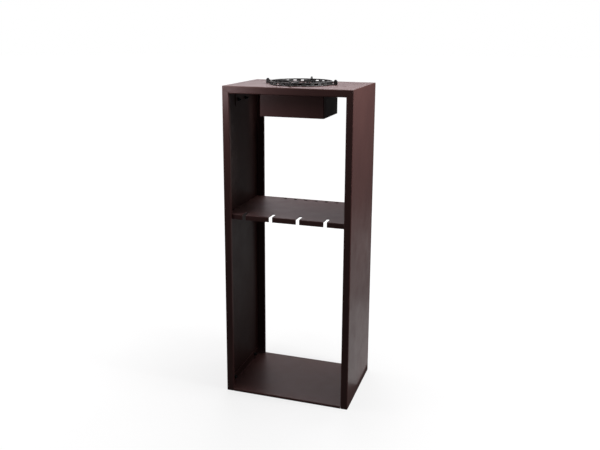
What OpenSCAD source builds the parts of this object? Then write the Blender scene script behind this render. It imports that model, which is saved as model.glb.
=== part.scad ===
// Standing rack of folded steel sheet: a firewood bay on the floor, a shelf that hangs
// stemmed glasses and forks, and a fondue top with a burner housing under it.
// Millimetres, +Z up, front towards -Y, origin on the floor at the middle of the footprint.

/* [Carcass] */
// Width over both side panels
rack_w = 450; // [400:5:520]
// Depth from the front faces to the rear faces
rack_d = 322; // [300:2:380]
// Height of the top surface above the floor
rack_h = 1100; // [950:10:1200]
// Thickness of the carcass sheet
sheet_t = 2.5; // [2:0.5:3]
// Outer radius of every bend in the carcass sheet
bend_r = 3.5; // [3.5:0.5:5]
// Width of the folded edges at the front
edge_w = 25; // [20:1:30]
// Width of the folded edges at the rear
rear_edge_w = 30; // [24:1:36]
// Depth of the lip folded back behind each edge
lip_d = 12; // [8:1:13]
// Height of the base plate's upper face above the floor
base_h = 8; // [8:1:14]
// Height of the base plate's side flanges above the floor
base_flange_h = 36; // [30:1:50]

/* [Shelf] */
// Height of the shelf's upper face above the floor
shelf_h = 660; // [560:10:760]
// Distance from the front faces back to the shelf's front lip
shelf_setback = 14; // [14:1:20]
// Height of the shelf's folded lips and flanges
shelf_lip_h = 18; // [17:1:30]
// Number of slots for glass stems
stem_slots = 4; // [2:1:4]
// Distance between neighbouring stem slots
stem_pitch = 96.5; // [80:0.5:100]
// How far the row of stem slots sits to the right of the middle
stem_offset = -12; // [-14:1:14]
// Width of one stem slot
stem_slot_w = 12; // [10:1:16]
// Length of one stem slot from the shelf's front lip
stem_slot_l = 45; // [36:1:60]
// Number of holes for forks
fork_holes = 6; // [2:2:8]
// Distance between neighbouring fork holes
fork_pitch = 40; // [30:1:45]
// Diameter of one fork hole
fork_hole_d = 13; // [10:1:16]
// Distance from the rear faces forward to the row of fork holes
fork_inset = 34; // [32:1:50]

/* [Burner housing] */
// Width of the housing over its side walls
housing_w = 224; // [200:2:240]
// Depth of the housing from its front wall to its open back
housing_d = 170; // [156:1:180]
// Height of the housing below the top plate
housing_h = 100.5; // [95:0.5:120]
// Distance from the front faces back to the housing's front wall
housing_setback = 55; // [50:1:65]
// Thickness of the housing sheet
housing_t = 2; // [1.5:0.5:2]
// Outer radius of every bend in the housing sheet
housing_bend_r = 3; // [3:0.5:4]
// Width of the flanges that bolt the housing to the top plate
housing_flange_w = 20; // [20:1:24]

/* [Pot support] */
// Diameter of the round cut-out in the top plate
cutout_d = 150; // [140:1:152]
// Diameter over the crown that carries the pot
crown_d = 214; // [206:2:222]
// Height of the pot support's rest above the top plate
rest_h = 12; // [10:1:16]
// Number of windows round the crown
crown_windows = 24; // [16:4:28]
// Number of radial arms
arms = 4; // [3:1:6]
// Distance from the middle to the outer end of an arm
arm_r = 128; // [126:1:134]
// Height of the horns at the arms' ends above the rest
horn_h = 6; // [4:1:8]

/* [Burner] */
// Diameter of the burner body
burner_d = 94; // [88:1:98]
// Height of the burner body
burner_h = 42; // [36:1:46]
// Number of flame holes
flame_holes = 8; // [6:2:10]
// Diameter of one flame hole
flame_hole_d = 8; // [6:1:9]
// Distance from the burner's middle to the tip of the regulator arm
regulator_reach = 96; // [90:1:100]

/* [Hidden] */
$fn = 64;

// Colours
coat = [0.20, 0.13, 0.12];
zinc = [0.72, 0.72, 0.70];
iron = [0.07, 0.07, 0.07];
stainless = [0.75, 0.76, 0.78];
aluminium = [0.82, 0.83, 0.85];
beech = [0.62, 0.38, 0.20];

// Carcass planes
eps = 0.05;
over = 2;
front_y = -rack_d / 2;
web_x = rack_w / 2 - sheet_t;
plate_z = rack_h - sheet_t;
fit_gap = 0.2;
seam_gap = 0.1;
corner_chamfer = 1.2;
mouth_x = rack_w / 2 - edge_w - fit_gap;
rear_mouth_x = rack_w / 2 - rear_edge_w - fit_gap;
tray_x = web_x - fit_gap;

// Shelf
shelf_front_y = front_y + shelf_setback;
shelf_flange_inset = 12;
shelf_flange_y = -shelf_front_y - shelf_flange_inset;
fork_y = -front_y - fork_inset;

// Base
lip_clearance = 1;
base_plate_y = -front_y - lip_d - lip_clearance;
base_flange_inset = 8;
base_flange_y = base_plate_y - base_flange_inset;

// Studs and nuts
stud_d = 6;
stud_l = 14;
stud_chamfer = 0.8;
stud_hole_d = 6.6;
nut_af = 10;
nut_h = 6;
nut_flange_d = 14;
nut_flange_h = 1.4;
nut_bore_d = 6.1;
shelf_stud_y = 90;
shelf_stud_drop = 10.5;
shelf_stud_z = shelf_h - shelf_stud_drop;
base_stud_y = 100;
base_stud_z = 23;

// Corner brackets
bracket_w = 110;
bracket_leg_h = 75;
bracket_leg_w = 50;
bracket_stud_y = 33;
bracket_stud_drop = 57;
bracket_stud_z = rack_h - bracket_stud_drop;
bracket_stud_inset = 30;
bracket_stud_x = web_x - bracket_stud_inset;

// Burner housing
housing_y0 = front_y + housing_setback;
housing_y1 = housing_y0 + housing_d;
housing_z0 = plate_z - housing_h;
housing_floor_z = housing_z0 + housing_t;
floor_upstand = 12;
housing_stud_x = (housing_w + housing_flange_w) / 2;
housing_stud_inset = 26;
housing_stud_y = [housing_y0 + housing_stud_inset, housing_y1 - housing_stud_inset];

// Pot support
rest_gap = 0.2;
support_z = rack_h + rest_gap;
rest_z = rack_h + rest_h;
foot_ring_t = 2.5;
foot_overhang = 1.5;
crown_t = 4.5;
crown_foot_w = 9;
window_w = 13;
window_h = 5;
arm_t = 5;
arm_r0 = 36;
arm_lift = 4;
lug_r = cutout_d / 2 - 1.5;
lug_w = 6;
lug_l = 10;
horn_foot = 13;
horn_top = [4, 9];
arm_window_w = 7;

// Burner
burner_z = housing_floor_z + rest_gap;
burner_t = 1.2;
rim_r = 1.6;
handle_w = 16;
handle_t = 2;
handle_reach = 118;
handle_z = burner_z + 8;
tub_d = 84;
tub_h = 30;
tub_t = 0.8;
tub_rim_w = 2.4;
cover_z = burner_z + burner_h + rim_r + rest_gap;
cover_d = burner_d + 8;
cover_t = 1.2;
cover_skirt_h = 7;
flame_circle_r = 30;
throat_d = 26;
eyelet_t = 1.2;
eyelet_lip = 3;
eyelet_gap = 0.06;
eyelet_play = 0.3;
disc_gap = 0.1;
disc_z = cover_z + cover_t + disc_gap;
disc_r = 38;
disc_t = 1;
arm_w = 12;
knob_d = 14;
knob_h = 12;
knob_neck_inset = 2;

// ---------- folded sheet ----------

// Quarter ring of bent sheet in the quadrant x > 0, y > 0
module bend_quarter(r, t) {
    intersection() {
        difference() {
            circle(r);
            circle(r - t);
        }
        square(r);
    }
}

// Sheet from the middle of a panel, round one folded edge to the end of its lip.
// The panel's outer face lies on x = 0 and the folded edge's face on y = 0.
module edge_profile(width) {
    translate([0, bend_r])
        square([sheet_t, rack_d / 2 - bend_r]);
    translate([bend_r, bend_r])
        rotate(180)
            bend_quarter(bend_r, sheet_t);
    translate([bend_r, 0])
        square([width - 2 * bend_r, sheet_t]);
    translate([width - bend_r, bend_r])
        rotate(270)
            bend_quarter(bend_r, sheet_t);
    translate([width - sheet_t, bend_r])
        square([sheet_t, lip_d - bend_r]);
}

// Cross-section shared by the side panels and the top panel
module channel_profile() {
    edge_profile(edge_w);
    translate([0, rack_d])
        mirror([0, 1])
            edge_profile(rear_edge_w);
}

// Cross-section of a plate whose front and rear edges are folded down.
// The upper face lies on y = 0 and the plate runs from x = -half to x = half.
module tray_profile(half, drop) {
    translate([bend_r - half, -sheet_t])
        square([2 * (half - bend_r), sheet_t]);
    for (side = [0, 1])
        mirror([side, 0]) {
            translate([half - bend_r, -bend_r])
                bend_quarter(bend_r, sheet_t);
            translate([half - sheet_t, -drop])
                square([sheet_t, drop - bend_r]);
        }
}

// Flange folded up or down from the end of a plate, with its bend.
// The plate's face on the flange's far side lies on z = 0, the flange's outer face on x = 0.
module end_flange(half_y, height) {
    translate([0, half_y, 0])
        rotate([90, 0, 0])
            linear_extrude(2 * half_y) {
                translate([-bend_r, bend_r])
                    rotate(270)
                        bend_quarter(bend_r, sheet_t);
                translate([-sheet_t, bend_r])
                    square([sheet_t, height - bend_r]);
            }
}

// ---------- mitred corner between a side panel and the top panel ----------

// Prism along Y whose outline is drawn from the right-hand upper corner of the carcass
module corner_prism(outline) {
    translate([rack_w / 2, rack_d, rack_h])
        rotate([90, 0, 0])
            linear_extrude(2 * rack_d)
                polygon(outline);
}

// Everything above the mitre, and the corner's chamfer
module above_mitre() {
    m = edge_w + rear_edge_w;
    corner_prism([[over, over - seam_gap], [-m, -m - seam_gap], [-m, over], [over, over]]);
    corner_chamfer_prism();
}

// Everything below the mitre, and the corner's chamfer
module below_mitre() {
    m = edge_w + rear_edge_w;
    corner_prism([[over, over + seam_gap], [-m, seam_gap - m], [over, seam_gap - m]]);
    corner_chamfer_prism();
}

module corner_chamfer_prism() {
    c = corner_chamfer;
    corner_prism([[-c, 0], [0, -c], [over, -c], [over, over], [-c, over]]);
}

// ---------- fasteners ----------

// Weld stud along +Z from the sheet it is welded to
module stud() {
    cylinder(d = stud_d, h = stud_l - stud_chamfer);
    translate([0, 0, stud_l - stud_chamfer])
        cylinder(d1 = stud_d, d2 = stud_d - 2 * stud_chamfer, h = stud_chamfer);
}

// Flange nut along +Z, seated on z = 0
module flange_nut() {
    difference() {
        union() {
            cylinder(d = nut_flange_d, h = nut_flange_h);
            cylinder(d = nut_af / cos(30), h = nut_h, $fn = 6);
        }
        translate([0, 0, -eps])
            cylinder(d = nut_bore_d, h = nut_h + 2 * eps);
    }
}

// Children turned so that their +Z points inwards from the right-hand panel's web
module from_web(y, z) {
    translate([web_x, y, z])
        rotate([0, -90, 0])
            children();
}

// Children turned so that their +Z points down from the top plate
module from_plate(x, y) {
    translate([x, y, plate_z])
        rotate([180, 0, 0])
            children();
}

module both_sides() {
    for (side = [0, 1])
        mirror([side, 0, 0])
            children();
}

// ---------- carcass ----------

module side_panel() {
    color(coat)
        difference() {
            translate([rack_w / 2, front_y, 0])
                mirror([1, 0, 0])
                    linear_extrude(rack_h)
                        channel_profile();
            above_mitre();
        }
}

module right_side() {
    side_panel();
}

module left_side() {
    mirror([1, 0, 0])
        side_panel();
}

module top_panel() {
    color(coat)
        difference() {
            translate([-rack_w / 2, front_y, rack_h])
                rotate([0, 90, 0])
                    linear_extrude(rack_w)
                        channel_profile();
            both_sides()
                below_mitre();
            translate([0, 0, plate_z - eps])
                cylinder(d = cutout_d, h = sheet_t + 2 * eps);
        }
}

module shelf() {
    half = -shelf_front_y;
    flange_x = tray_x - bend_r;
    color(coat)
        difference() {
            union() {
                translate([-flange_x, 0, shelf_h])
                    rotate([90, 0, 90])
                        linear_extrude(2 * flange_x)
                            tray_profile(half, shelf_lip_h);
                both_sides()
                    translate([tray_x, 0, shelf_h])
                        mirror([0, 0, 1])
                            end_flange(shelf_flange_y, shelf_lip_h);
            }
            for (i = [0 : stem_slots - 1])
                translate([stem_offset + stem_pitch * (i - (stem_slots - 1) / 2), shelf_front_y, 0])
                    stem_slot();
            for (i = [0 : fork_holes - 1])
                translate([fork_pitch * (i - (fork_holes - 1) / 2), fork_y, shelf_h - sheet_t - eps])
                    cylinder(d = fork_hole_d, h = sheet_t + 2 * eps);
            both_sides()
                for (y = [-shelf_stud_y, shelf_stud_y])
                    from_web(y, shelf_stud_z)
                        cylinder(d = stud_hole_d, h = sheet_t + fit_gap + eps);
        }
}

// Slot with a round inner end, cut right through the shelf and its front lip
module stem_slot() {
    straight = stem_slot_l - stem_slot_w / 2;
    depth = shelf_lip_h + 2 * over;
    translate([0, 0, shelf_h - shelf_lip_h - over]) {
        translate([-stem_slot_w / 2, -over, 0])
            cube([stem_slot_w, straight + over, depth]);
        translate([0, straight, 0])
            cylinder(d = stem_slot_w, h = depth);
    }
}

module base_panel() {
    flange_x = tray_x - bend_r;
    color(coat)
        difference() {
            union() {
                translate([-mouth_x, 0, base_h])
                    rotate([90, 0, 90])
                        linear_extrude(2 * mouth_x)
                            tray_profile(-front_y, base_h);
                translate([-flange_x, -base_plate_y, base_h - sheet_t])
                    cube([2 * flange_x, 2 * base_plate_y, sheet_t]);
                both_sides()
                    translate([tray_x, 0, base_h - sheet_t])
                        end_flange(base_flange_y, base_flange_h - base_h + sheet_t);
            }
            both_sides() {
                for (y = [-base_stud_y, base_stud_y])
                    from_web(y, base_stud_z)
                        cylinder(d = stud_hole_d, h = sheet_t + fit_gap + eps);
                translate([rear_mouth_x, base_plate_y, -eps])
                    cube([rear_edge_w, lip_d + over, base_h + 2 * eps]);
            }
        }
}

// Angle that ties the top plate to a side panel's web
module corner_bracket() {
    color(coat)
        difference() {
            translate([web_x, bracket_w / 2, plate_z])
                rotate([90, 0, 0])
                    linear_extrude(bracket_w) {
                        translate([-bend_r, -bend_r])
                            bend_quarter(bend_r, sheet_t);
                        translate([-sheet_t, -bracket_leg_h])
                            square([sheet_t, bracket_leg_h - bend_r]);
                        translate([-bracket_leg_w, -sheet_t])
                            square([bracket_leg_w - bend_r, sheet_t]);
                    }
            for (y = [-bracket_stud_y, bracket_stud_y]) {
                from_web(y, bracket_stud_z)
                    cylinder(d = stud_hole_d, h = sheet_t + eps);
                from_plate(bracket_stud_x, y)
                    cylinder(d = stud_hole_d, h = sheet_t + eps);
            }
        }
}

module right_bracket() {
    corner_bracket();
}

module left_bracket() {
    mirror([1, 0, 0])
        corner_bracket();
}

// ---------- studs and nuts ----------

module side_studs() {
    color(zinc) {
        for (y = [-bracket_stud_y, bracket_stud_y])
            from_web(y, bracket_stud_z)
                stud();
        for (y = [-shelf_stud_y, shelf_stud_y])
            from_web(y, shelf_stud_z)
                stud();
        for (y = [-base_stud_y, base_stud_y])
            from_web(y, base_stud_z)
                stud();
    }
}

module right_side_studs() {
    side_studs();
}

module left_side_studs() {
    mirror([1, 0, 0])
        side_studs();
}

module top_studs() {
    color(zinc)
        both_sides() {
            for (y = [-bracket_stud_y, bracket_stud_y])
                from_plate(bracket_stud_x, y)
                    stud();
            for (y = housing_stud_y)
                from_plate(housing_stud_x, y)
                    stud();
        }
}

module bracket_nuts() {
    color(zinc)
        both_sides()
            for (y = [-bracket_stud_y, bracket_stud_y]) {
                from_web(y, bracket_stud_z)
                    translate([0, 0, sheet_t])
                        flange_nut();
                from_plate(bracket_stud_x, y)
                    translate([0, 0, sheet_t])
                        flange_nut();
            }
}

module shelf_nuts() {
    color(zinc)
        both_sides()
            for (y = [-shelf_stud_y, shelf_stud_y])
                from_web(y, shelf_stud_z)
                    translate([0, 0, sheet_t + fit_gap])
                        flange_nut();
}

module base_nuts() {
    color(zinc)
        both_sides()
            for (y = [-base_stud_y, base_stud_y])
                from_web(y, base_stud_z)
                    translate([0, 0, sheet_t + fit_gap])
                        flange_nut();
}

module housing_nuts() {
    color(zinc)
        both_sides()
            for (y = housing_stud_y)
                from_plate(housing_stud_x, y)
                    translate([0, 0, housing_t])
                        flange_nut();
}

// ---------- burner housing ----------

// Plan of the wrap-round wall: a front and two sides, open at the back
module housing_plan() {
    half = housing_w / 2;
    r = housing_bend_r;
    t = housing_t;
    translate([r - half, housing_y0])
        square([housing_w - 2 * r, t]);
    for (side = [0, 1])
        mirror([side, 0]) {
            translate([half - r, housing_y0 + r])
                rotate(270)
                    bend_quarter(r, t);
            translate([half - t, housing_y0 + r])
                square([t, housing_d - r]);
        }
}

// Flange turned outwards along the top of the right-hand wall
module housing_flange() {
    r = housing_bend_r;
    t = housing_t;
    translate([housing_w / 2 - t, housing_y1, plate_z])
        rotate([90, 0, 0])
            linear_extrude(housing_d - r) {
                translate([r, -r])
                    rotate(90)
                        bend_quarter(r, t);
                translate([r, -t])
                    square([housing_flange_w - r, t]);
            }
}

module burner_housing() {
    color(coat)
        difference() {
            union() {
                translate([0, 0, housing_z0])
                    linear_extrude(housing_h - housing_bend_r)
                        housing_plan();
                both_sides()
                    housing_flange();
            }
            both_sides()
                for (y = housing_stud_y)
                    from_plate(housing_stud_x, y)
                        cylinder(d = stud_hole_d, h = housing_t + eps);
        }
}

// Floor of the housing with upstands welded inside the walls
module housing_floor() {
    half = housing_w / 2 - housing_t - seam_gap;
    r = housing_bend_r;
    y0 = housing_y0 + housing_t + seam_gap;
    color(coat)
        translate([0, housing_y1, housing_z0])
            rotate([90, 0, 0])
                linear_extrude(housing_y1 - y0) {
                    translate([r - half, 0])
                        square([2 * (half - r), housing_t]);
                    for (side = [0, 1])
                        mirror([side, 0]) {
                            translate([half - r, r])
                                rotate(270)
                                    bend_quarter(r, housing_t);
                            translate([half - housing_t, r])
                                square([housing_t, floor_upstand - r]);
                        }
                }
}

// ---------- pot support ----------

module pot_support() {
    color(iron) {
        difference() {
            translate([0, 0, support_z])
                rotate_extrude()
                    crown_profile();
            for (i = [0 : crown_windows - 1])
                rotate(360 / crown_windows * i)
                    translate([crown_d / 2 - 2 * crown_t, -window_w / 2, support_z + foot_ring_t])
                        cube([3 * crown_t, window_w, window_h]);
        }
        for (i = [0 : arms - 1])
            rotate(360 / arms * i)
                support_arm();
    }
}

// Right half of the crown's cross-section, with z = 0 at its foot
module crown_profile() {
    translate([crown_d / 2 - crown_foot_w, 0])
        square([crown_foot_w + foot_overhang, foot_ring_t]);
    translate([crown_d / 2 - crown_t, 0])
        square([crown_t, rest_z - support_z]);
}

// Radial arm along +X: raised over the cut-out, a lug that drops into the cut-out, and a
// window and a horn outside the crown
module support_arm() {
    translate([0, arm_t / 2, 0])
        rotate([90, 0, 0])
            linear_extrude(arm_t)
                difference() {
                    polygon([
                        [arm_r0, support_z + arm_lift], [lug_r - lug_w, support_z + arm_lift],
                        [lug_r - lug_w, support_z - lug_l], [lug_r, support_z - lug_l],
                        [lug_r, support_z], [arm_r, support_z], [arm_r, rest_z],
                        [arm_r - horn_top[0], rest_z + horn_h], [arm_r - horn_top[1], rest_z + horn_h],
                        [arm_r - horn_foot, rest_z], [arm_r0, rest_z]
                    ]);
                    translate([crown_d / 2 + foot_overhang, support_z + foot_ring_t])
                        square([arm_window_w, window_h]);
                }
}

// ---------- burner ----------

module burner_body() {
    r = burner_d / 2;
    color(stainless)
        translate([0, 0, burner_z])
            rotate_extrude() {
                square([r, burner_t]);
                translate([r - burner_t, 0])
                    square([burner_t, burner_h]);
                translate([r, burner_h])
                    circle(rim_r);
            }
}

// Strip handle with a saddle that wraps the burner's wall
module burner_handle() {
    r = burner_d / 2;
    color(stainless)
        translate([0, 0, handle_z]) {
            intersection() {
                difference() {
                    cylinder(r = r + handle_t, h = handle_w);
                    translate([0, 0, -eps])
                        cylinder(r = r + eps, h = handle_w + 2 * eps);
                }
                translate([-handle_w / 2, 0, 0])
                    cube([handle_w, 2 * r, handle_w]);
            }
            translate([-handle_w / 2, r + handle_t / 2, 0])
                cube([handle_w, handle_reach - r - handle_w / 2, handle_t]);
            translate([0, handle_reach - handle_w / 2 + handle_t / 2, 0])
                cylinder(d = handle_w, h = handle_t);
        }
}

module fuel_tub() {
    r = tub_d / 2;
    color(aluminium)
        translate([0, 0, burner_z + burner_t + eps])
            rotate_extrude() {
                square([r, tub_t]);
                translate([r - tub_t, 0])
                    square([tub_t, tub_h]);
                translate([r - tub_t, tub_h - tub_t])
                    square([tub_rim_w, tub_t]);
            }
}

// Ring of round holes about the burner's middle
module hole_ring(h) {
    for (i = [0 : flame_holes - 1])
        rotate(360 / flame_holes * i)
            translate([flame_circle_r, 0, -eps])
                cylinder(d = flame_hole_d, h = h + 2 * eps);
}

module burner_cover() {
    r = cover_d / 2;
    color(stainless)
        translate([0, 0, cover_z])
            difference() {
                union() {
                    cylinder(r = r, h = cover_t);
                    translate([0, 0, -cover_skirt_h])
                        difference() {
                            cylinder(r = r, h = cover_skirt_h + eps);
                            translate([0, 0, -eps])
                                cylinder(r = r - cover_t, h = cover_skirt_h + 3 * eps);
                        }
                }
                translate([0, 0, -eps])
                    cylinder(d = throat_d, h = cover_t + 2 * eps);
                hole_ring(cover_t);
            }
}

// Hollow rivet on which the regulator turns
module pivot_eyelet() {
    r = throat_d / 2 - eyelet_gap;
    top = disc_t + eyelet_play;
    color(stainless)
        translate([0, 0, cover_z])
            rotate_extrude() {
                translate([r - eyelet_t, -eyelet_t])
                    square([eyelet_t, cover_t + top + 2 * eyelet_t]);
                translate([r - eyelet_t, -eyelet_t])
                    square([eyelet_t + eyelet_lip, eyelet_t - eps]);
                translate([r - eyelet_t, cover_t + top])
                    square([eyelet_t + eyelet_lip, eyelet_t]);
            }
}

// Perforated disc and its arm, which points out of the housing's open back
module regulator() {
    color(stainless)
        translate([0, 0, disc_z])
            difference() {
                union() {
                    cylinder(r = disc_r, h = disc_t);
                    translate([-arm_w / 2, 0, 0])
                        cube([arm_w, regulator_reach - arm_w / 2, disc_t]);
                    translate([0, regulator_reach - arm_w / 2, 0])
                        cylinder(d = arm_w, h = disc_t);
                }
                translate([0, 0, -eps])
                    cylinder(d = throat_d, h = disc_t + 2 * eps);
                hole_ring(disc_t);
            }
}

// Turned knob riveted to the end of the regulator's arm
module regulator_knob() {
    r = knob_d / 2;
    color(beech)
        translate([0, regulator_reach - arm_w / 2, disc_z + disc_t])
            rotate_extrude()
                difference() {
                    union() {
                        square([r - knob_neck_inset, knob_h - r]);
                        translate([0, knob_h - r])
                            circle(r);
                    }
                    translate([-2 * r, -2 * r])
                        square([2 * r, 4 * r]);
                    translate([0, -2 * r])
                        square([2 * r, 2 * r]);
                }
}

left_side();
right_side();
top_panel();
shelf();
base_panel();
left_bracket();
right_bracket();
left_side_studs();
right_side_studs();
top_studs();
bracket_nuts();
shelf_nuts();
base_nuts();
housing_nuts();
burner_housing();
housing_floor();
pot_support();
burner_body();
burner_handle();
fuel_tub();
burner_cover();
pivot_eyelet();
regulator();
regulator_knob();
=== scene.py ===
"""Looks of the firewood rack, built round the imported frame. Metres, +Z up, front towards -Y."""
import math

import bmesh
import bpy
from mathutils import Matrix, Vector

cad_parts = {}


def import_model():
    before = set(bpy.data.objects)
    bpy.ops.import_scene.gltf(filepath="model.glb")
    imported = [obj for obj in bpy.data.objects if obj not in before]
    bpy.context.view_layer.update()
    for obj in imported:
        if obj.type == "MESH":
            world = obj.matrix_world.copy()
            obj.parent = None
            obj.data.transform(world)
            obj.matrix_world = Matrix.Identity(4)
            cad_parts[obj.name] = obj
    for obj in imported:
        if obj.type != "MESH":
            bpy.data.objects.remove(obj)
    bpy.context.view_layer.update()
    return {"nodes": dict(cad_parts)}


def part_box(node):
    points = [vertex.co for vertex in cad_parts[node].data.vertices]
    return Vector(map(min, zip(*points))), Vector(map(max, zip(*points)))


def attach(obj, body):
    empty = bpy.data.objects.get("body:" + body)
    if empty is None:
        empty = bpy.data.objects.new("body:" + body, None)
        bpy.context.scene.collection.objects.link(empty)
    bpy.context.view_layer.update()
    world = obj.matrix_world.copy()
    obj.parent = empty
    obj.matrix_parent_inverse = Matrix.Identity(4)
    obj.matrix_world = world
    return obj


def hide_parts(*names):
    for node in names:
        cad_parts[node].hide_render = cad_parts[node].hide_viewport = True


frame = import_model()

MM = 0.001
# Vertices this close are one
MERGE = 0.002 * MM
SCENE = bpy.context.scene
NODES = frame["nodes"]

# The burner stands on the pot support's upright axis
SUPPORT_LOW, SUPPORT_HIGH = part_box("pot_support")
MIDDLE = Vector((0.0, (SUPPORT_LOW.y + SUPPORT_HIGH.y) / 2, 0.0))


# ---------- colours ----------

def rgb(r, g, b):
    return (r, g, b, 1.0)


WHITE = rgb(1.0, 1.0, 1.0)
COAT = rgb(0.078, 0.033, 0.030)
COAT_DARK = rgb(0.066, 0.027, 0.025)
COAT_EDGE = rgb(0.110, 0.056, 0.048)
DUST = rgb(0.16, 0.13, 0.11)
ZINC_BLACK = rgb(0.045, 0.045, 0.05)
ZINC_RUBBED = rgb(0.17, 0.165, 0.16)
IRON_DARK = rgb(0.010, 0.010, 0.010)
IRON_PALE = rgb(0.022, 0.021, 0.020)
STEEL_DARK = rgb(0.52, 0.525, 0.54)
STEEL_PALE = rgb(0.58, 0.58, 0.58)
STEEL_STRAW = rgb(0.46, 0.36, 0.22)
ALUMINIUM_DARK = rgb(0.70, 0.71, 0.73)
ALUMINIUM_PALE = rgb(0.82, 0.83, 0.84)
BEECH_DARK = rgb(0.33, 0.155, 0.062)
BEECH_PALE = rgb(0.50, 0.275, 0.125)
BEECH_FLECK = rgb(0.17, 0.07, 0.03)
FLOOR_DARK = rgb(0.20, 0.20, 0.20)
FLOOR_PALE = rgb(0.22, 0.22, 0.22)


# ---------- shader helpers ----------

# Sockets of a Mix node that is set to colours
MIX_SHARE, MIX_A, MIX_B, MIX_RESULT = 0, 6, 7, 2


class Shader:
    """A material whose nodes are added one call at a time."""

    def __init__(self, name, **values):
        self.material = bpy.data.materials.new(name)
        self.material.use_nodes = True
        self.tree = self.material.node_tree
        self.tree.nodes.clear()
        out = self.tree.nodes.new("ShaderNodeOutputMaterial")
        self.bsdf = self.tree.nodes.new("ShaderNodeBsdfPrincipled")
        self.tree.links.new(self.bsdf.outputs[0], out.inputs[0])
        for socket, value in values.items():
            self.bsdf.inputs[socket.replace("_", " ")].default_value = value
        self.place = self.add("ShaderNodeTexCoord").outputs["Object"]

    def add(self, kind, settings=None, **inputs):
        node = self.tree.nodes.new(kind)
        for key, value in (settings or {}).items():
            setattr(node, key, value)
        for key, value in inputs.items():
            self.feed(node.inputs[key.replace("_", " ")], value)
        return node

    def feed(self, socket, value):
        if isinstance(value, bpy.types.NodeSocket):
            self.tree.links.new(value, socket)
        else:
            socket.default_value = value

    def noise(self, scale, detail=2.0, roughness=0.5, stretch=None):
        """Noise of about scale features per metre, drawn out along an axis where stretch is under 1."""
        place = self.place
        if stretch:
            place = self.add("ShaderNodeMapping", Vector=place, Scale=stretch).outputs[0]
        made = self.add("ShaderNodeTexNoise", Vector=place, Scale=scale, Detail=detail,
                        Roughness=roughness)
        return made.outputs["Fac"]

    def spread(self, value, low, high, to_low=0.0, to_high=1.0):
        """value stretched from low..high to to_low..to_high, and held inside them."""
        node = self.add("ShaderNodeMapRange", Value=value)
        node.inputs["From Min"].default_value = low
        node.inputs["From Max"].default_value = high
        node.inputs["To Min"].default_value = to_low
        node.inputs["To Max"].default_value = to_high
        return node.outputs[0]

    def math(self, operation, *values):
        node = self.add("ShaderNodeMath", {"operation": operation})
        for socket, value in zip(node.inputs, values):
            self.feed(socket, value)
        return node.outputs[0]

    def mix(self, share, a, b):
        node = self.add("ShaderNodeMix", {"data_type": "RGBA"})
        self.feed(node.inputs[MIX_SHARE], share)
        self.feed(node.inputs[MIX_A], a)
        self.feed(node.inputs[MIX_B], b)
        return node.outputs[MIX_RESULT]

    def split(self, axis):
        return self.add("ShaderNodeSeparateXYZ", Vector=self.place).outputs[axis]

    def colour(self, value):
        self.feed(self.bsdf.inputs["Base Color"], value)

    def roughness(self, value):
        self.feed(self.bsdf.inputs["Roughness"], value)

    def height(self, *layers):
        """Bump made of (height socket, depth in metres) layers, one over the other."""
        normal = None
        for value, depth in layers:
            node = self.add("ShaderNodeBump", Height=value, Distance=depth)
            node.inputs["Strength"].default_value = 1.0
            if normal:
                self.feed(node.inputs["Normal"], normal)
            normal = node.outputs[0]
        self.feed(self.bsdf.inputs["Normal"], normal)


# ---------- materials ----------

# Dust and scuffs have faded out at this height
DUST_TOP = 0.45
# They fade out through the thickness of the side sheets, so the outer faces stay clean
SKIN_OUTER_X, SKIN_INNER_X = 0.2240, 0.2230
# How strongly they tint the coat, and how much rougher they make it
DUST_TINT, DUST_ROUGHNESS = 0.18, 0.8
SPECKLE_TINT = 0.25

# Round the burner's middle, the steel is straw coloured at the first radius and clean at the second
STRAW_R, CLEAN_R = 0.016, 0.044
STRAW_TINT = 0.45
# Pattern length for each radian round the middle, so short that the brushed lines run round it
TURN_STRETCH = 0.0006

FLECK_TINT = 0.6


def coated_steel(name="coated_steel", tone=COAT, roughness=0.42):
    """Satin powder coat: fine orange peel, faint clouds of colour, dust and scuffs in the log bay."""
    s = Shader(name, Specular_IOR_Level=0.3)
    clouds = s.spread(s.noise(5.0, 3.0), 0.35, 0.65)
    speckle = s.spread(s.noise(2600.0, 1.0), 0.62, 0.72)
    coat = s.mix(s.math("MULTIPLY", speckle, SPECKLE_TINT), s.mix(clouds, COAT_DARK, tone), COAT_EDGE)
    low = s.spread(s.split("Z"), DUST_TOP, 0.0)
    inside = s.spread(s.math("ABSOLUTE", s.split("X")), SKIN_OUTER_X, SKIN_INNER_X)
    scuffs = s.spread(s.noise(60.0, 4.0, 0.7, (1.0, 0.08, 1.0)), 0.60, 0.70)
    reached = s.math("MULTIPLY", scuffs, s.math("MULTIPLY", low, inside))
    dust = s.math("MULTIPLY", reached, DUST_TINT)
    s.colour(s.mix(dust, coat, DUST))
    rubbed = s.spread(s.noise(14.0, 4.0, 0.6), 0.3, 0.7, roughness - 0.04, roughness + 0.05)
    s.roughness(s.math("ADD", rubbed, s.math("MULTIPLY", dust, DUST_ROUGHNESS)))
    orange_peel, grain = s.noise(900.0, 1.0), s.noise(3500.0, 1.0)
    s.height((orange_peel, 0.06 * MM), (grain, 0.01 * MM))
    return s.material


def dark_zinc():
    """Black zinc plating, with the steel showing through where a spanner or a nut rubbed it."""
    s = Shader("dark_zinc", Metallic=1.0)
    rubbed = s.spread(s.noise(400.0, 3.0, 0.6), 0.52, 0.66)
    s.colour(s.mix(rubbed, ZINC_BLACK, ZINC_RUBBED))
    handling, grain = s.noise(700.0, 2.0), s.noise(2500.0, 1.0)
    s.roughness(s.spread(handling, 0.3, 0.7, 0.34, 0.52))
    s.height((grain, 0.01 * MM))
    return s.material


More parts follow.
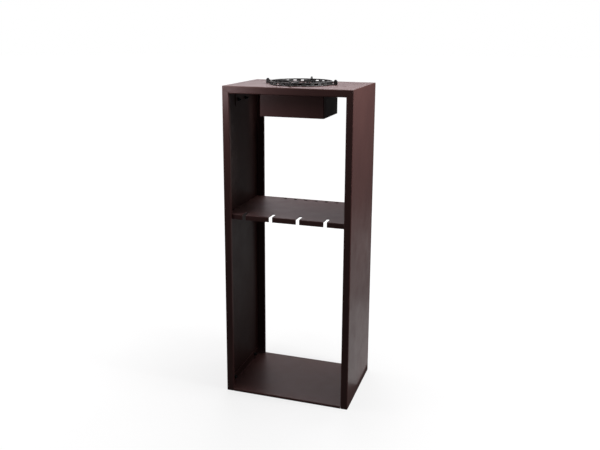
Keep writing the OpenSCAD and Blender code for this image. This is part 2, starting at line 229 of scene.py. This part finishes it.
def black_iron():
    """Matt black enamel over cast iron, with the grain of the mould and small pits."""
    s = Shader("black_iron", Specular_IOR_Level=0.5)
    clouds, smears = s.noise(45.0, 3.0), s.noise(240.0, 3.0)
    s.colour(s.mix(s.spread(clouds, 0.35, 0.65), IRON_DARK, IRON_PALE))
    s.roughness(s.spread(smears, 0.3, 0.7, 0.42, 0.62))
    mould_grain, pits = s.noise(480.0, 3.0, 0.6), s.noise(1800.0, 2.0)
    s.height((mould_grain, 0.22 * MM), (pits, 0.05 * MM))
    return s.material


def stainless(s, lines, warm):
    """Brushed stainless steel of these lines, straw coloured where it was warm."""
    steel = s.mix(s.spread(lines, 0.3, 0.7), STEEL_DARK, STEEL_PALE)
    s.colour(s.mix(s.math("MULTIPLY", warm, STRAW_TINT), steel, STEEL_STRAW))
    s.roughness(s.spread(lines, 0.25, 0.75, 0.22, 0.42))
    s.height((lines, 0.02 * MM))
    return s.material


def spun_steel():
    """Stainless steel brushed round the burner's middle, warmest there from the flame."""
    s = Shader("stainless_spun", Metallic=1.0)
    away = s.add("ShaderNodeVectorMath", {"operation": "SUBTRACT"})
    s.feed(away.inputs[0], s.place)
    s.feed(away.inputs[1], MIDDLE)
    x, y, z = s.add("ShaderNodeSeparateXYZ", Vector=away.outputs[0]).outputs
    reach = s.math("SQRT", s.math("ADD", s.math("POWER", x, 2.0), s.math("POWER", y, 2.0)))
    turn = s.math("MULTIPLY", s.math("ARCTAN2", y, x), TURN_STRETCH)
    flat = s.add("ShaderNodeCombineXYZ", X=reach, Y=turn, Z=z).outputs[0]
    lines = s.add("ShaderNodeTexNoise", Vector=flat, Scale=5000.0, Detail=2.0).outputs["Fac"]
    return stainless(s, lines, s.spread(reach, CLEAN_R, STRAW_R))


def strip_steel():
    """Stainless strip brushed along Y, with a few warm patches."""
    s = Shader("stainless_strip", Metallic=1.0)
    lines = s.noise(4000.0, 2.0, 0.5, (1.0, 0.02, 1.0))
    return stainless(s, lines, s.spread(s.noise(20.0), 0.5, 0.7))


def drawn_aluminium():
    """Thin drawn aluminium with shallow dents."""
    s = Shader("aluminium", Metallic=1.0)
    clouds, smears = s.noise(70.0), s.noise(900.0, 2.0)
    s.colour(s.mix(s.spread(clouds, 0.35, 0.65), ALUMINIUM_DARK, ALUMINIUM_PALE))
    s.roughness(s.spread(smears, 0.3, 0.7, 0.26, 0.40))
    dents, grain = s.noise(160.0, 1.0), s.noise(2500.0)
    s.height((dents, 0.2 * MM), (grain, 0.01 * MM))
    return s.material


def oiled_beech():
    """Turned beech: growth bands along X, short dark flecks and fine turning lines round Z."""
    s = Shader("beech", Specular_IOR_Level=0.45)
    bands = s.noise(260.0, 2.0, 0.5, (0.12, 1.0, 0.5))
    flecks = s.spread(s.noise(1500.0, 1.0, 0.5, (0.15, 1.0, 0.6)), 0.64, 0.72)
    wood = s.mix(s.spread(bands, 0.35, 0.65), BEECH_DARK, BEECH_PALE)
    s.colour(s.mix(s.math("MULTIPLY", flecks, FLECK_TINT), wood, BEECH_FLECK))
    s.roughness(s.spread(bands, 0.3, 0.7, 0.36, 0.50))
    turning = s.noise(2600.0, 1.0, 0.5, (0.02, 0.02, 1.0))
    s.height((flecks, -0.04 * MM), (turning, 0.02 * MM))
    return s.material


COATED = coated_steel()
COATED_EDGE = coated_steel("coated_steel_edge", COAT_EDGE, 0.36)
ZINC = dark_zinc()
IRON = black_iron()
SPUN = spun_steel()
STRIP = strip_steel()
ALUMINIUM = drawn_aluminium()
BEECH = oiled_beech()


# ---------- mesh helpers ----------

def piece(name, bm, material, body, stands_for=(), sharp_deg=32.0):
    """Turns a bmesh into a shown piece that rides on a body."""
    bmesh.ops.recalc_face_normals(bm, faces=bm.faces)
    mesh = bpy.data.meshes.new(name)
    bm.to_mesh(mesh)
    bm.free()
    mesh.shade_smooth()
    mesh.set_sharp_from_angle(angle=math.radians(sharp_deg))
    mesh.materials.append(material)
    made = bpy.data.objects.new(name, mesh)
    SCENE.collection.objects.link(made)
    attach(made, body)
    if stands_for:
        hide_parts(*stands_for)


def arc(middle, radius, start_deg, end_deg, steps=6):
    """Points (r, z) round a middle, from one angle to another."""
    turns = [math.radians(start_deg + (end_deg - start_deg) * i / steps) for i in range(steps + 1)]
    return [(middle[0] + radius * math.cos(t), middle[1] + radius * math.sin(t)) for t in turns]


def lathe(bm, outline, place, sides):
    """Turns an outline round place's +Z. A point is (r, z) in millimetres, or a function that gives
    (r, z) at an angle. An outline that starts and ends off the axis closes on itself."""
    rings = []
    for point in outline:
        if not callable(point) and point[0] < 1e-6:
            rings.append([bm.verts.new(place @ Vector((0.0, 0.0, point[1] * MM)))])
            continue
        ring = []
        for i in range(sides):
            turn = 2 * math.pi * i / sides
            r, z = point(turn) if callable(point) else point
            ring.append(bm.verts.new(place @ (Vector((r * math.cos(turn), r * math.sin(turn), z)) * MM)))
        rings.append(ring)
    closed = len(rings[0]) > 1 and len(rings[-1]) > 1
    pairs = list(zip(rings, rings[1:])) + ([(rings[-1], rings[0])] if closed else [])
    for low, high in pairs:
        for i in range(sides):
            j = (i + 1) % sides
            corners = [low[i % len(low)], low[j % len(low)], high[j % len(high)], high[i % len(high)]]
            bm.faces.new(list(dict.fromkeys(corners)))


def box_of(verts):
    """Lowest and highest corner of some vertices."""
    spans = [[v.co[axis] for v in verts] for axis in range(3)]
    return Vector([min(span) for span in spans]), Vector([max(span) for span in spans])


def solids(node):
    """Box (low, high) of each separate solid in a CAD node, in the order of their lowest corners."""
    bm = bmesh.new()
    bm.from_mesh(NODES[node].data)
    bmesh.ops.remove_doubles(bm, verts=bm.verts, dist=MERGE)
    boxes, left = [], set(bm.verts)
    while left:
        island, reach = set(), [left.pop()]
        while reach:
            vert = reach.pop()
            island.add(vert)
            fresh = {e.other_vert(vert) for e in vert.link_edges} & left
            left -= fresh
            reach.extend(fresh)
        boxes.append(box_of(island))
    bm.free()
    return sorted(boxes, key=lambda box: tuple(round(c, 4) for c in box[0]))


def on_sheet(low, high):
    """Frame on the sheet that carries a fastener, whose +Z points to the inside of the rack."""
    middle, size = (low + high) / 2, high - low
    upright = abs(size.x - size.y) < 0.5 * MM
    if upright:
        return Matrix.Translation((middle.x, middle.y, high.z)) @ Matrix.Rotation(math.pi, 4, "X")
    side = 1.0 if middle.x > 0 else -1.0
    seat = high.x if side > 0 else low.x
    return Matrix.Translation((seat, middle.y, middle.z)) @ Matrix.Rotation(-side * math.pi / 2, 4, "Y")


# ---------- carried-over CAD sheet and strip ----------

# Faces this near to one plane are joined before the edges are rounded
FLAT_DEG = 0.8
# Edges sharper than this are rounded
EDGE_DEG = 30.0


def soften(node, materials, width_mm):
    """Rounds a CAD node's cut edges, which take the last material, and gives its faces the first."""
    part = NODES[node]
    part.data.materials.clear()
    for material in materials:
        part.data.materials.append(material)
    weld = part.modifiers.new("weld", "WELD")
    weld.merge_threshold = MERGE
    flat = part.modifiers.new("flat", "DECIMATE")
    flat.decimate_type = "DISSOLVE"
    flat.angle_limit = math.radians(FLAT_DEG)
    round_edges = part.modifiers.new("round_edges", "BEVEL")
    round_edges.width = width_mm * MM
    round_edges.segments = 2
    round_edges.limit_method = "ANGLE"
    round_edges.angle_limit = math.radians(EDGE_DEG)
    round_edges.use_clamp_overlap = True
    round_edges.harden_normals = False
    if len(materials) > 1:
        round_edges.material = 1
    smooth = part.modifiers.new("smooth", "WEIGHTED_NORMAL")
    smooth.keep_sharp = False
    smooth.weight = 100


for name in ("left_side", "right_side", "top_panel", "shelf", "base_panel", "left_bracket",
             "right_bracket", "burner_housing", "housing_floor"):
    soften(name, (COATED, COATED_EDGE), 0.35)
for name in ("burner_cover", "regulator", "pivot_eyelet"):
    soften(name, (SPUN,), 0.25)
soften("burner_handle", (STRIP,), 0.4)


# ---------- fasteners, in millimetres ----------

STUD_R = 3.0
STUD_CHAMFER = 0.8
STUD_SIDES = 20
THREAD_DEPTH = 0.35
THREAD_PITCH = 1.0
THREAD_START = 2.6
RINGS_PER_PITCH = 5

NUT_HALF_AF = 5.0
NUT_H = 6.0
NUT_CROWN_R = 4.7
NUT_BORE_R = 3.06
NUT_SIDES = 72
FLANGE_R = 7.0
SERRATIONS = 18
SERRATION_H = 0.12


def threaded_stud(bm, place, length):
    """Weld stud with a fillet of weld at its foot, a plain shank and a real helical thread."""
    def ring(z):
        def point(turn):
            ridge = abs(((z / THREAD_PITCH - turn / (2 * math.pi)) % 1.0) * 2.0 - 1.0)
            taper = max(0.0, z - length + STUD_CHAMFER)
            return min(STUD_R - THREAD_DEPTH * ridge, STUD_R - taper), z
        return point

    threaded = length - THREAD_START
    rings = int(threaded / THREAD_PITCH * RINGS_PER_PITCH)
    thread = [ring(THREAD_START + threaded * i / rings) for i in range(rings + 1)]
    weld = [(0.0, 0.0), (3.25, 0.0), (3.1, 0.25), (STUD_R, 0.6)]
    shank = [(STUD_R, THREAD_START - 0.3)]
    lathe(bm, weld + shank + thread + [(0.0, length)], place, STUD_SIDES)


def hexagon(turn):
    """Distance from a nut's axis to its side, at an angle."""
    return NUT_HALF_AF / math.cos((turn + math.pi / 6) % (math.pi / 3) - math.pi / 6)


def flange_nut(bm, place):
    """Hexagon nut with a serrated flange, chamfered corners and a chamfered bore."""
    slope = math.tan(math.radians(30.0))

    def serrated(turn):
        return FLANGE_R - 0.25, SERRATION_H + SERRATION_H * (turn * SERRATIONS / math.pi % 2.0)

    def fillet(turn):
        return hexagon(turn) + 0.35, 1.5

    def side_foot(turn):
        return hexagon(turn), 1.8

    def side_top(turn):
        return hexagon(turn), NUT_H - (hexagon(turn) - NUT_CROWN_R) * slope

    flange = [(3.4, 0.0), (6.2, 0.05), serrated, (FLANGE_R, 0.5), (FLANGE_R, 0.9), (6.5, 1.25)]
    crown = [fillet, side_foot, side_top, (NUT_CROWN_R, NUT_H)]
    bore = [(3.5, NUT_H), (NUT_BORE_R, NUT_H - 0.45), (NUT_BORE_R, 0.4)]
    lathe(bm, flange + crown + bore, place, NUT_SIDES)


def fasteners():
    """A threaded stud or a serrated nut in the place of each plain one."""
    for node in ("left_side_studs", "right_side_studs", "top_studs"):
        bm = bmesh.new()
        for low, high in solids(node):
            threaded_stud(bm, on_sheet(low, high), max(high - low) / MM)
        piece(node + "_threaded", bm, ZINC, "carcass", [node], 50.0)
    for node in ("bracket_nuts", "shelf_nuts", "base_nuts", "housing_nuts"):
        bm = bmesh.new()
        for low, high in solids(node):
            flange_nut(bm, on_sheet(low, high))
        piece(node + "_serrated", bm, ZINC, "carcass", [node], 25.0)


# ---------- pot support ----------

CAST_VOXEL = 0.8 * MM
CAST_ROUNDING = 5


def cast_support():
    """The CAD support as a casting, with every edge and corner rounded."""
    mesh = NODES["pot_support"].data.copy()
    made = bpy.data.objects.new("cast_pot_support", mesh)
    SCENE.collection.objects.link(made)
    weld = made.modifiers.new("weld", "WELD")
    weld.merge_threshold = MERGE
    grain = made.modifiers.new("grain", "REMESH")
    grain.mode = "VOXEL"
    grain.voxel_size = CAST_VOXEL
    grain.use_smooth_shade = True
    rounding = made.modifiers.new("rounding", "SMOOTH")
    rounding.factor = 0.5
    rounding.iterations = CAST_ROUNDING
    mesh.materials.clear()
    mesh.materials.append(IRON)
    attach(made, "pot_support")
    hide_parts("pot_support")


# ---------- burner, in millimetres ----------

BODY_T = 1.2
BODY_CORNER_R = 3.0
BODY_RIM_R = 1.6
BODY_BEAD = 0.5
# The bead's two ends, as shares of the body's height
BEAD_LOW, BEAD_HIGH = 0.28, 0.40
BEAD_STEPS = 6

TUB_T = 0.5
TUB_CORNER_R = 2.5
TUB_LIP_R = 0.8
TUB_RIBS = 36
TUB_RIB_DEPTH = 0.35

GROOVE_DEPTH = 0.35
GROOVE_POINTS = (4, 8)

HOUSING_FLOOR_T = 2.0


def burner_frame(z):
    return Matrix.Translation(MIDDLE + Vector((0.0, 0.0, z)))


def spun_body():
    """Spun cup with a round bottom corner, a stiffening bead and a rolled rim."""
    low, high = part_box("burner_body")
    r = (high.x - low.x) / 2 / MM - BODY_RIM_R
    h = (high.z - low.z) / MM - BODY_RIM_R
    corner = (r - BODY_CORNER_R, BODY_CORNER_R)
    bottom = [(0.0, 0.0), (20.0, 0.0), (21.0, 0.3), (r - 8.0, 0.3), (r - 7.0, 0.0)]
    outer_corner = arc(corner, BODY_CORNER_R, -90.0, 0.0)
    wall = []
    for i in range(BEAD_STEPS + 1):
        out = BODY_BEAD * math.sin(math.pi * i / BEAD_STEPS)
        up = BEAD_LOW + (BEAD_HIGH - BEAD_LOW) * i / BEAD_STEPS
        wall.append((r + out, up * h))
    wall.append((r, h - 3.0))
    rim = arc((r, h), BODY_RIM_R, -80.0, 200.0, 14)
    inner_corner = arc(corner, BODY_CORNER_R - BODY_T, 0.0, -90.0)
    inside = [(r - BODY_T, h - 3.0)] + inner_corner + [(0.0, BODY_T)]
    bm = bmesh.new()
    lathe(bm, bottom + outer_corner + wall + rim + inside, burner_frame(low.z), 128)
    piece("spun_burner_body", bm, SPUN, "burner", ["burner_body"], 40.0)


def drawn_tub():
    """Thin drawn tub with fine pressed ribs round its wall and a curled lip."""
    low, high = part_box("fuel_tub")
    r = (high.x - low.x) / 2 / MM - 2 * TUB_LIP_R
    h = (high.z - low.z) / MM
    corner = (r - TUB_CORNER_R - 0.4, TUB_CORNER_R)

    def ribbed(inset, z):
        return lambda turn: (r - inset - TUB_RIB_DEPTH * (0.5 + 0.5 * math.cos(TUB_RIBS * turn)), z)

    bottom = [(0.0, 0.0), (r - 9.0, 0.0), (r - 8.0, 0.6), (r - 5.0, 0.6), (r - 4.0, 0.0)]
    outer_corner = arc(corner, TUB_CORNER_R, -90.0, -10.0, 5)
    wall = [ribbed(0.0, 5.0), ribbed(0.0, h - 6.0), (r, h - 4.0), (r - 0.1, h - 1.9)]
    lip = arc((r + TUB_LIP_R, h - TUB_LIP_R), TUB_LIP_R, -90.0, 180.0, 9)[:-1]
    inner_wall = [(r - TUB_T, h - 2.0), (r - TUB_T, h - 4.0), ribbed(TUB_T, h - 6.0), ribbed(TUB_T, 5.0)]
    inner_corner = arc(corner, TUB_CORNER_R - TUB_T, -10.0, -90.0, 5)
    inside = inner_wall + inner_corner + [(0.0, TUB_T)]
    bm = bmesh.new()
    lathe(bm, bottom + outer_corner + wall + lip + inside, burner_frame(low.z), 288)
    piece("drawn_fuel_tub", bm, ALUMINIUM, "burner", ["fuel_tub"], 40.0)


def turned_knob():
    """Beech knob with a waist and two turned grooves, and its rivet's rounded end under the arm."""
    low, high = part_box("regulator_knob")
    middle = (low + high) / 2
    h = (high.z - low.z) / MM
    r = (high.x - low.x) / 2 / MM
    place = Matrix.Translation((middle.x, middle.y, low.z))
    centre = h - r
    foot = [(0.0, 0.0), (r - 2.2, 0.0), (r - 2.0, 0.3), (r - 2.0, 1.4)]
    waist = [(r - 2.5, 2.0), (r - 2.4, 3.0), (r - 1.2, centre - 1.0), (r - 0.4, centre - 0.2)]
    dome = arc((0.0, centre), r, 3.0, 80.0, 16)
    for i in GROOVE_POINTS:
        dome[i] = (dome[i][0] - GROOVE_DEPTH, dome[i][1])
    knob = bmesh.new()
    lathe(knob, foot + waist + dome + [(0.0, h)], place, 64)
    piece("turned_knob", knob, BEECH, "regulator", ["regulator_knob"], 40.0)
    head = [(0.0, 2.0), (1.2, 1.9), (2.0, 1.6), (2.4, 1.1), (2.5, 1.02), (2.5, 0.9), (0.0, 0.9)]
    rivet = bmesh.new()
    lathe(rivet, head, place @ Matrix.Rotation(math.pi, 4, "X"), 32)
    piece("knob_rivet", rivet, SPUN, "regulator")


def spot_welds():
    """Round dimples where the housing floor's upstands are spot welded to the housing's sides."""
    low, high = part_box("housing_floor")
    dimple = [(0.0, 0.05), (1.3, 0.02), (1.9, 0.16), (2.5, 0.20), (3.0, 0.10), (3.2, -0.1), (0.0, -0.1)]
    inner_x = (high.x - low.x) / 2 - HOUSING_FLOOR_T * MM
    height = high.z - 4.5 * MM
    bm = bmesh.new()
    for side in (-1.0, 1.0):
        for share in (0.12, 0.37, 0.63, 0.88):
            place = Matrix.Translation((side * inner_x, low.y + share * (high.y - low.y), height))
            lathe(bm, dimple, place @ Matrix.Rotation(-side * math.pi / 2, 4, "Y"), 32)
    piece("housing_spot_welds", bm, COATED, "carcass")


fasteners()
cast_support()
spun_body()
drawn_tub()
turned_knob()
spot_welds()


# ---------- camera, floor and light ----------

CAMERA_PLACE = (0.7638, -2.3747, 1.2972)
# In degrees: turned to the left, tipped down and rolled
CAMERA_YAW, CAMERA_PITCH, CAMERA_ROLL = 18.02, 12.77, 0.283
CAMERA_LENS = 43.43
CAMERA_SHIFT = (0.0028, -0.0601)

FLOOR_R = 30.0
# The floor's glow rises from the first strength to the second between these distances
GLOW_FROM, GLOW_TO = 0.3, 3.0
GLOW_LOW, GLOW_HIGH = 0.74, 1.0
# Strength of the dim light that reaches the object from all round
SURROUND = 0.085

NEUTRAL = (1.0, 1.0, 1.0)
ROSE = (1.0, 0.93, 0.97)


def camera():
    """Stands to the right of the front, a little above the top, and looks slightly down."""
    data = bpy.data.cameras.new("camera")
    data.sensor_width = 36.0
    data.lens = CAMERA_LENS
    data.shift_x, data.shift_y = CAMERA_SHIFT
    made = bpy.data.objects.new("camera", data)
    SCENE.collection.objects.link(made)
    made.location = CAMERA_PLACE
    yaw = Matrix.Rotation(math.radians(CAMERA_YAW), 4, "Z")
    pitch = Matrix.Rotation(math.radians(90.0 - CAMERA_PITCH), 4, "X")
    roll = Matrix.Rotation(math.radians(CAMERA_ROLL), 4, "Z")
    made.rotation_mode = "QUATERNION"
    made.rotation_quaternion = (yaw @ pitch @ roll).to_quaternion()
    SCENE.camera = made


def floor():
    """Pale floor that brightens into the white surround. It neither lights the object nor shows in
    its gloss."""
    bm = bmesh.new()
    bmesh.ops.create_circle(bm, cap_ends=True, segments=96, radius=FLOOR_R)
    mesh = bpy.data.meshes.new("floor")
    bm.to_mesh(mesh)
    bm.free()
    s = Shader("pale_floor", Roughness=0.9, Specular_IOR_Level=0.0, Emission_Color=WHITE)
    s.colour(s.mix(s.noise(3.0), FLOOR_DARK, FLOOR_PALE))
    reach = s.add("ShaderNodeVectorMath", {"operation": "LENGTH"}, Vector=s.place).outputs["Value"]
    s.feed(s.bsdf.inputs["Emission Strength"], s.spread(reach, GLOW_FROM, GLOW_TO, GLOW_LOW, GLOW_HIGH))
    mesh.materials.append(s.material)
    made = bpy.data.objects.new("floor", mesh)
    made.visible_glossy = False
    made.visible_diffuse = False
    SCENE.collection.objects.link(made)


def world():
    """White behind the object, and a soft dim surround that lights it."""
    made = bpy.data.worlds.new("studio")
    made.use_nodes = True
    tree = made.node_tree
    tree.nodes.clear()
    out = tree.nodes.new("ShaderNodeOutputWorld")
    seen = tree.nodes.new("ShaderNodeBackground")
    seen.inputs["Color"].default_value = WHITE
    fill = tree.nodes.new("ShaderNodeBackground")
    fill.inputs["Color"].default_value = WHITE
    fill.inputs["Strength"].default_value = SURROUND
    ray = tree.nodes.new("ShaderNodeLightPath")
    mix = tree.nodes.new("ShaderNodeMixShader")
    tree.links.new(ray.outputs["Is Camera Ray"], mix.inputs[0])
    tree.links.new(fill.outputs[0], mix.inputs[1])
    tree.links.new(seen.outputs[0], mix.inputs[2])
    tree.links.new(mix.outputs[0], out.inputs[0])
    SCENE.world = made


def softbox(name, place, target, width, height, watts, colour=NEUTRAL):
    """Rectangular light at place that faces target and isn't seen itself."""
    data = bpy.data.lights.new(name, "AREA")
    data.shape = "RECTANGLE"
    data.size = width
    data.size_y = height
    data.energy = watts
    data.color = colour
    made = bpy.data.objects.new(name, data)
    SCENE.collection.objects.link(made)
    made.location = place
    made.visible_camera = False
    made.rotation_mode = "QUATERNION"
    made.rotation_quaternion = (Vector(target) - made.location).to_track_quat("-Z", "Y")


def lights():
    """Soft light from above, behind and both sides, with low lights along the floor and two small
    ones at the top left corner."""
    softbox("overhead", (0.0, 0.3, 3.0), (0.0, 0.0, 1.0), 1.6, 1.6, 50.0)
    softbox("rear_high", (-0.6, 2.0, 2.4), (0.0, 0.0, 1.1), 1.4, 1.0, 18.0, ROSE)
    softbox("rear_left", (-2.0, 3.4, 1.5), (0.0, 0.0, 1.0), 1.6, 1.2, 4.5, ROSE)
    softbox("right_high", (1.6, -0.1, 1.9), (0.225, 0.0, 1.0), 0.4, 0.8, 25.0)
    softbox("right_top", (0.7, -0.1, 1.35), (0.225, 0.0, 1.02), 0.5, 0.3, 3.2)
    softbox("right_floor_near", (0.44, 0.39, 0.02), (0.44, 0.39, 1.0), 0.42, 0.8, 0.74)
    softbox("right_floor_far", (0.70, 1.5, 0.03), (0.70, 1.5, 1.0), 0.7, 1.4, 1.3)
    softbox("corner_high", (-0.34, -0.34, 1.24), (-0.2, -0.161, 1.09), 0.12, 0.12, 0.65, ROSE)
    softbox("corner_front", (-0.31, -0.40, 1.07), (-0.21, -0.161, 1.09), 0.08, 0.08, 0.25, ROSE)
    softbox("rear_low", (-0.5, 2.6, 0.35), (0.0, 0.1, 1.0), 1.4, 0.5, 5.0)
    softbox("left", (-2.2, 0.1, 0.8), (-0.225, 0.0, 0.6), 1.4, 1.4, 22.0)


camera()
floor()
world()
lights()
SCENE.view_settings.view_transform = "Standard"
